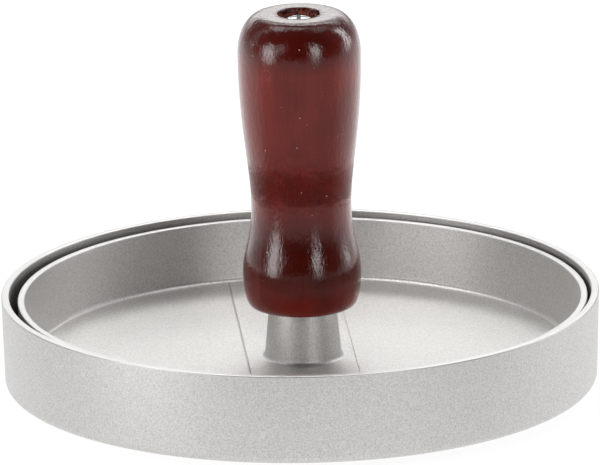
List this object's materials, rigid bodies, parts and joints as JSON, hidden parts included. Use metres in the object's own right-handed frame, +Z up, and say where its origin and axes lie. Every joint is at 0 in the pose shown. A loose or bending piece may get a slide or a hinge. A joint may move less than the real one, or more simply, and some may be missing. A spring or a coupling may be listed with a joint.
{
  "type": "patty press",
  "caption": "Round hand press for ground-meat patties: a shallow ribbed mould, a press plate that drops into it, and an upright turned handle.",
  "frame": {"origin": "centre of the mould's flat underside, on the surface the press stands on", "axes": "+Z up along the handle, +X to the right as seen from the front, +Y to the back; the grill ribs run along Y"},
  "size_m": [0.125, 0.125, 0.079],
  "materials": {
    "cast_aluminium": "matte, bead blasted, lightly speckled",
    "lacquered_wood": "dark red-brown stain under clear gloss lacquer",
    "zinc_plate": "bright zinc plate"
  },
  "bodies": {
    "mould": {"mould": "cast_aluminium"},
    "washer": {"screw_washer": "zinc_plate"},
    "press": {"press_plate": "cast_aluminium", "handle": "lacquered_wood", "handle_screw": "zinc_plate"}
  },
  "joints": [
    {"name": "press_lift", "type": "slide", "parent": "mould", "child": "washer", "axis": [0, 0, 1], "range_m": [0, 0.03]},
    {"name": "press_turn", "type": "hinge", "parent": "washer", "child": "press", "pos_m": [0.0005, 0, 0.0185], "axis": [0, 0, 1], "continuous": true}
  ]
}
